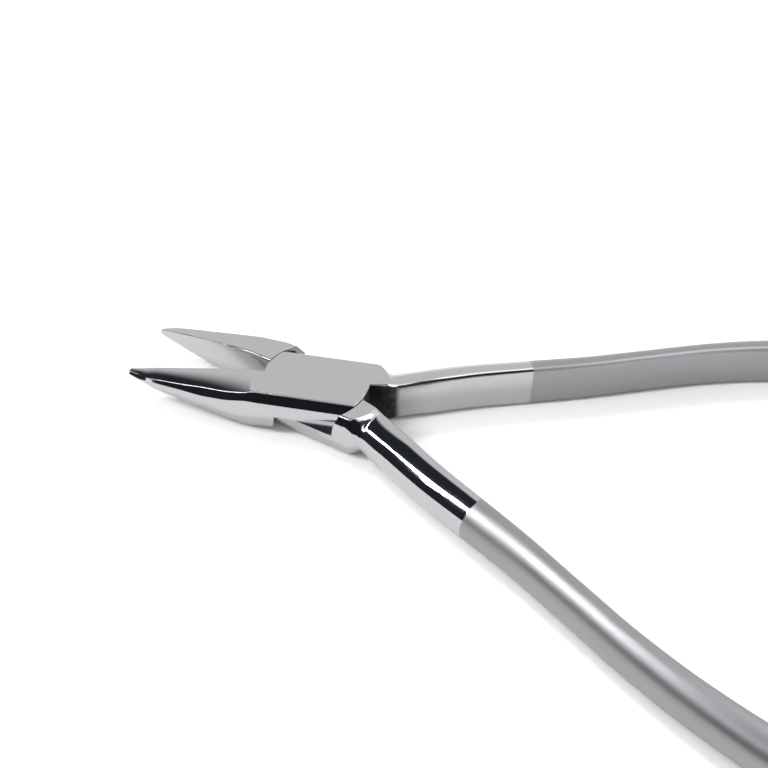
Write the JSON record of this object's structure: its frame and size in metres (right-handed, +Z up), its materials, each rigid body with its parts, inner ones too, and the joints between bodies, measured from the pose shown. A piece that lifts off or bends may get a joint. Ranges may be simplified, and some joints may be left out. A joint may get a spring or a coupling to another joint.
{
  "type": "dental pliers",
  "caption": "Lap-joint dental pliers with a round and a square tapered beak, a shoulder screw set from below as the pivot, and bowed half-round handles with satin grips.",
  "frame": {"origin": "on the pivot axis, in the plane of the underside cheek on which the pliers lie", "axes": "+Z up along the pivot axis; +X along the middle line of the opened pliers from the pivot to the handles, so the beaks point to -X; +Y to the side of the handle that carries the round beak"},
  "size_m": [0.1251, 0.0806, 0.007],
  "materials": {
    "half_steel": "stainless steel, mirror polished on beaks, joint and necks, satin blasted on the handles",
    "screw_steel": "turned stainless steel with a slotted head"
  },
  "bodies": {
    "upper_half": {"round_beak_half": "half_steel", "pivot_screw": "screw_steel"},
    "lower_half": {"square_beak_half": "half_steel"}
  },
  "joints": [
    {"name": "pivot", "type": "hinge", "parent": "upper_half", "child": "lower_half", "pos_m": [0, 0, 0], "axis": [0, 0, -1], "range_deg": [-18.5, 17.5]}
  ]
}
